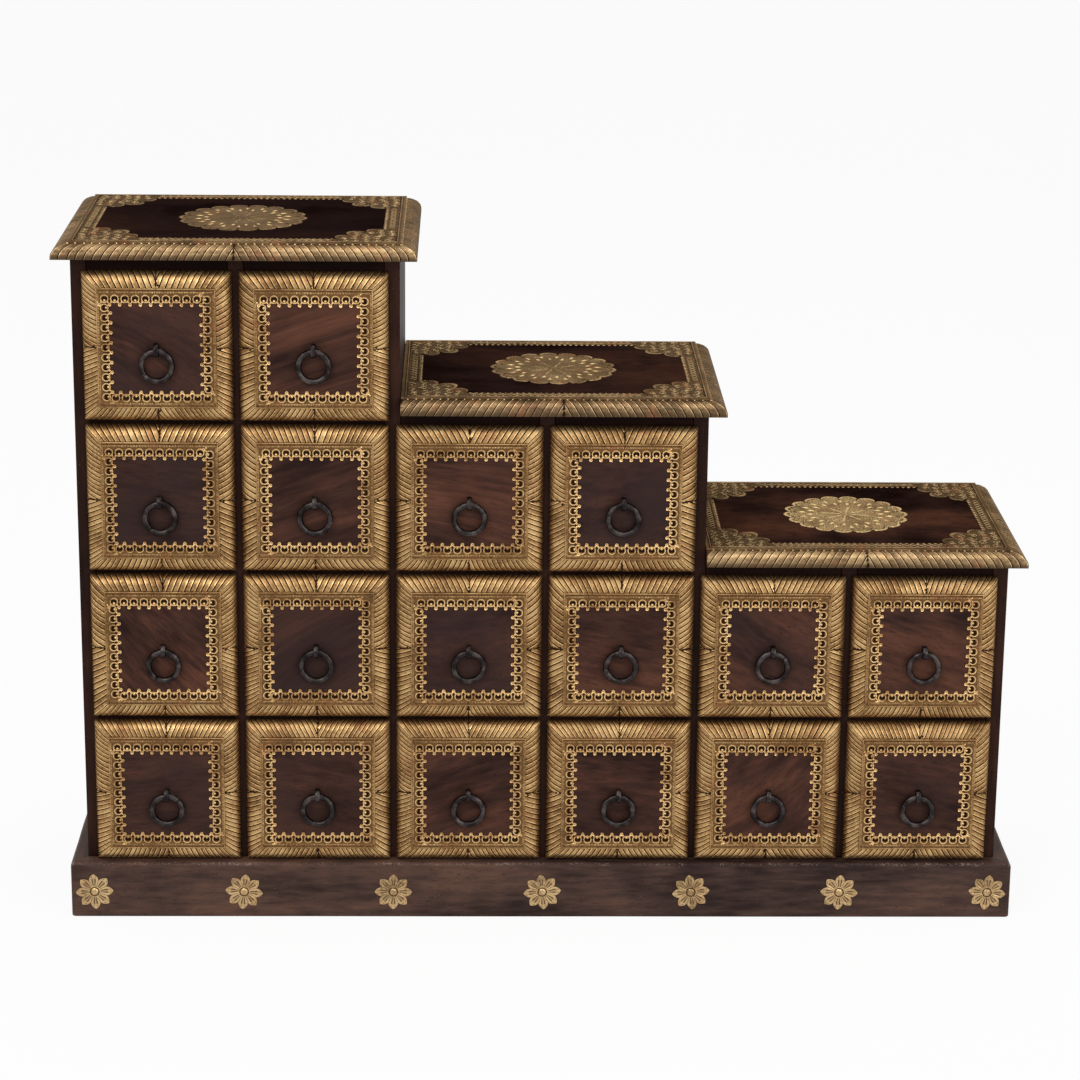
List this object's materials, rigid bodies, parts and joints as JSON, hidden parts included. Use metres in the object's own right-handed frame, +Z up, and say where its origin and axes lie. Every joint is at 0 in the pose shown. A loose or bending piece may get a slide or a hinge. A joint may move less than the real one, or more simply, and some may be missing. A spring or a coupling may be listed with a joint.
{
  "type": "chest of drawers",
  "caption": "Stepped wooden chest of small drawers on a plinth, with moulded tops, brass-clad edges and an iron ring pull hanging in an eye on each sliding drawer.",
  "frame": {"origin": "on the floor, in the middle of the whole chest's width and depth", "axes": "+X along the width, towards the low step; +Y from the drawer fronts to the back; +Z up"},
  "size_m": [0.762, 0.2082, 0.5548],
  "materials": {
    "carcass_wood": "dark stain, worn wax",
    "plinth_wood": "brown stain, worn wax",
    "top_wood": "dark polish",
    "back_wood": "bare",
    "drawer_wood": "reddish stain, wax",
    "ring_iron": "forged, waxed",
    "brass": "embossed, aged"
  },
  "bodies": {
    "carcass": {"plinth_front_rail": "plinth_wood", "plinth_back_rail": "plinth_wood", "plinth_left_rail": "plinth_wood", "plinth_right_rail": "plinth_wood", "side_left": "carcass_wood", "partition_1": "carcass_wood", "partition_2": "carcass_wood", "partition_3": "carcass_wood", "partition_4": "carcass_wood", "partition_5": "carcass_wood", "side_right": "carcass_wood", "bottom_board": "carcass_wood", "shelf_1": "carcass_wood", "shelf_2": "carcass_wood", "shelf_3": "carcass_wood", "shelf_4": "carcass_wood", "back_panel_tall": "back_wood", "back_panel_middle": "back_wood", "back_panel_low": "back_wood", "top_tall": "top_wood", "top_middle": "top_wood", "top_low": "top_wood"},
    "drawer_r1c1": {"drawer_r1c1": "drawer_wood"},
    "ring_r1c1": {"ring_r1c1": "ring_iron"},
    "drawer_r2c1": {"drawer_r2c1": "drawer_wood"},
    "ring_r2c1": {"ring_r2c1": "ring_iron"},
    "drawer_r3c1": {"drawer_r3c1": "drawer_wood"},
    "ring_r3c1": {"ring_r3c1": "ring_iron"},
    "drawer_r4c1": {"drawer_r4c1": "drawer_wood"},
    "ring_r4c1": {"ring_r4c1": "ring_iron"},
    "drawer_r1c2": {"drawer_r1c2": "drawer_wood"},
    "ring_r1c2": {"ring_r1c2": "ring_iron"},
    "drawer_r2c2": {"drawer_r2c2": "drawer_wood"},
    "ring_r2c2": {"ring_r2c2": "ring_iron"},
    "drawer_r3c2": {"drawer_r3c2": "drawer_wood"},
    "ring_r3c2": {"ring_r3c2": "ring_iron"},
    "drawer_r4c2": {"drawer_r4c2": "drawer_wood"},
    "ring_r4c2": {"ring_r4c2": "ring_iron"},
    "drawer_r1c3": {"drawer_r1c3": "drawer_wood"},
    "ring_r1c3": {"ring_r1c3": "ring_iron"},
    "drawer_r2c3": {"drawer_r2c3": "drawer_wood"},
    "ring_r2c3": {"ring_r2c3": "ring_iron"},
    "drawer_r3c3": {"drawer_r3c3": "drawer_wood"},
    "ring_r3c3": {"ring_r3c3": "ring_iron"},
    "drawer_r1c4": {"drawer_r1c4": "drawer_wood"},
    "ring_r1c4": {"ring_r1c4": "ring_iron"},
    "drawer_r2c4": {"drawer_r2c4": "drawer_wood"},
    "ring_r2c4": {"ring_r2c4": "ring_iron"},
    "drawer_r3c4": {"drawer_r3c4": "drawer_wood"},
    "ring_r3c4": {"ring_r3c4": "ring_iron"},
    "drawer_r1c5": {"drawer_r1c5": "drawer_wood"},
    "ring_r1c5": {"ring_r1c5": "ring_iron"},
    "drawer_r2c5": {"drawer_r2c5": "drawer_wood"},
    "ring_r2c5": {"ring_r2c5": "ring_iron"},
    "drawer_r1c6": {"drawer_r1c6": "drawer_wood"},
    "ring_r1c6": {"ring_r1c6": "ring_iron"},
    "drawer_r2c6": {"drawer_r2c6": "drawer_wood"},
    "ring_r2c6": {"ring_r2c6": "ring_iron"}
  },
  "joints": [
    {"name": "slide_r1c1", "type": "slide", "parent": "carcass", "child": "drawer_r1c1", "axis": [0, -1, 0], "range_m": [0, 0.13]},
    {"name": "swing_r1c1", "type": "hinge", "parent": "drawer_r1c1", "child": "ring_r1c1", "pos_m": [-0.30125, -0.09855, 0.10585], "axis": [-1, 0, 0], "range_deg": [-3.5, 180]},
    {"name": "slide_r2c1", "type": "slide", "parent": "carcass", "child": "drawer_r2c1", "axis": [0, -1, 0], "range_m": [0, 0.13]},
    {"name": "swing_r2c1", "type": "hinge", "parent": "drawer_r2c1", "child": "ring_r2c1", "pos_m": [-0.30125, -0.09855, 0.22805], "axis": [-1, 0, 0], "range_deg": [-3.5, 180]},
    {"name": "slide_r3c1", "type": "slide", "parent": "carcass", "child": "drawer_r3c1", "axis": [0, -1, 0], "range_m": [0, 0.13]},
    {"name": "swing_r3c1", "type": "hinge", "parent": "drawer_r3c1", "child": "ring_r3c1", "pos_m": [-0.30125, -0.09855, 0.35025], "axis": [-1, 0, 0], "range_deg": [-3.5, 180]},
    {"name": "slide_r4c1", "type": "slide", "parent": "carcass", "child": "drawer_r4c1", "axis": [0, -1, 0], "range_m": [0, 0.13]},
    {"name": "swing_r4c1", "type": "hinge", "parent": "drawer_r4c1", "child": "ring_r4c1", "pos_m": [-0.30125, -0.09855, 0.47245], "axis": [-1, 0, 0], "range_deg": [-3.5, 180]},
    {"name": "slide_r1c2", "type": "slide", "parent": "carcass", "child": "drawer_r1c2", "axis": [0, -1, 0], "range_m": [0, 0.13]},
    {"name": "swing_r1c2", "type": "hinge", "parent": "drawer_r1c2", "child": "ring_r1c2", "pos_m": [-0.18075, -0.09855, 0.10585], "axis": [-1, 0, 0], "range_deg": [-3.5, 180]},
    {"name": "slide_r2c2", "type": "slide", "parent": "carcass", "child": "drawer_r2c2", "axis": [0, -1, 0], "range_m": [0, 0.13]},
    {"name": "swing_r2c2", "type": "hinge", "parent": "drawer_r2c2", "child": "ring_r2c2", "pos_m": [-0.18075, -0.09855, 0.22805], "axis": [-1, 0, 0], "range_deg": [-3.5, 180]},
    {"name": "slide_r3c2", "type": "slide", "parent": "carcass", "child": "drawer_r3c2", "axis": [0, -1, 0], "range_m": [0, 0.13]},
    {"name": "swing_r3c2", "type": "hinge", "parent": "drawer_r3c2", "child": "ring_r3c2", "pos_m": [-0.18075, -0.09855, 0.35025], "axis": [-1, 0, 0], "range_deg": [-3.5, 180]},
    {"name": "slide_r4c2", "type": "slide", "parent": "carcass", "child": "drawer_r4c2", "axis": [0, -1, 0], "range_m": [0, 0.13]},
    {"name": "swing_r4c2", "type": "hinge", "parent": "drawer_r4c2", "child": "ring_r4c2", "pos_m": [-0.18075, -0.09855, 0.47245], "axis": [-1, 0, 0], "range_deg": [-3.5, 180]},
    {"name": "slide_r1c3", "type": "slide", "parent": "carcass", "child": "drawer_r1c3", "axis": [0, -1, 0], "range_m": [0, 0.13]},
    {"name": "swing_r1c3", "type": "hinge", "parent": "drawer_r1c3", "child": "ring_r1c3", "pos_m": [-0.06025, -0.09855, 0.10585], "axis": [-1, 0, 0], "range_deg": [-3.5, 180]},
    {"name": "slide_r2c3", "type": "slide", "parent": "carcass", "child": "drawer_r2c3", "axis": [0, -1, 0], "range_m": [0, 0.13]},
    {"name": "swing_r2c3", "type": "hinge", "parent": "drawer_r2c3", "child": "ring_r2c3", "pos_m": [-0.06025, -0.09855, 0.22805], "axis": [-1, 0, 0], "range_deg": [-3.5, 180]},
    {"name": "slide_r3c3", "type": "slide", "parent": "carcass", "child": "drawer_r3c3", "axis": [0, -1, 0], "range_m": [0, 0.13]},
    {"name": "swing_r3c3", "type": "hinge", "parent": "drawer_r3c3", "child": "ring_r3c3", "pos_m": [-0.06025, -0.09855, 0.35025], "axis": [-1, 0, 0], "range_deg": [-3.5, 180]},
    {"name": "slide_r1c4", "type": "slide", "parent": "carcass", "child": "drawer_r1c4", "axis": [0, -1, 0], "range_m": [0, 0.13]},
    {"name": "swing_r1c4", "type": "hinge", "parent": "drawer_r1c4", "child": "ring_r1c4", "pos_m": [0.06025, -0.09855, 0.10585], "axis": [-1, 0, 0], "range_deg": [-3.5, 180]},
    {"name": "slide_r2c4", "type": "slide", "parent": "carcass", "child": "drawer_r2c4", "axis": [0, -1, 0], "range_m": [0, 0.13]},
    {"name": "swing_r2c4", "type": "hinge", "parent": "drawer_r2c4", "child": "ring_r2c4", "pos_m": [0.06025, -0.09855, 0.22805], "axis": [-1, 0, 0], "range_deg": [-3.5, 180]},
    {"name": "slide_r3c4", "type": "slide", "parent": "carcass", "child": "drawer_r3c4", "axis": [0, -1, 0], "range_m": [0, 0.13]},
    {"name": "swing_r3c4", "type": "hinge", "parent": "drawer_r3c4", "child": "ring_r3c4", "pos_m": [0.06025, -0.09855, 0.35025], "axis": [-1, 0, 0], "range_deg": [-3.5, 180]},
    {"name": "slide_r1c5", "type": "slide", "parent": "carcass", "child": "drawer_r1c5", "axis": [0, -1, 0], "range_m": [0, 0.13]},
    {"name": "swing_r1c5", "type": "hinge", "parent": "drawer_r1c5", "child": "ring_r1c5", "pos_m": [0.18075, -0.09855, 0.10585], "axis": [-1, 0, 0], "range_deg": [-3.5, 180]},
    {"name": "slide_r2c5", "type": "slide", "parent": "carcass", "child": "drawer_r2c5", "axis": [0, -1, 0], "range_m": [0, 0.13]},
    {"name": "swing_r2c5", "type": "hinge", "parent": "drawer_r2c5", "child": "ring_r2c5", "pos_m": [0.18075, -0.09855, 0.22805], "axis": [-1, 0, 0], "range_deg": [-3.5, 180]},
    {"name": "slide_r1c6", "type": "slide", "parent": "carcass", "child": "drawer_r1c6", "axis": [0, -1, 0], "range_m": [0, 0.13]},
    {"name": "swing_r1c6", "type": "hinge", "parent": "drawer_r1c6", "child": "ring_r1c6", "pos_m": [0.30125, -0.09855, 0.10585], "axis": [-1, 0, 0], "range_deg": [-3.5, 180]},
    {"name": "slide_r2c6", "type": "slide", "parent": "carcass", "child": "drawer_r2c6", "axis": [0, -1, 0], "range_m": [0, 0.13]},
    {"name": "swing_r2c6", "type": "hinge", "parent": "drawer_r2c6", "child": "ring_r2c6", "pos_m": [0.30125, -0.09855, 0.22805], "axis": [-1, 0, 0], "range_deg": [-3.5, 180]}
  ]
}
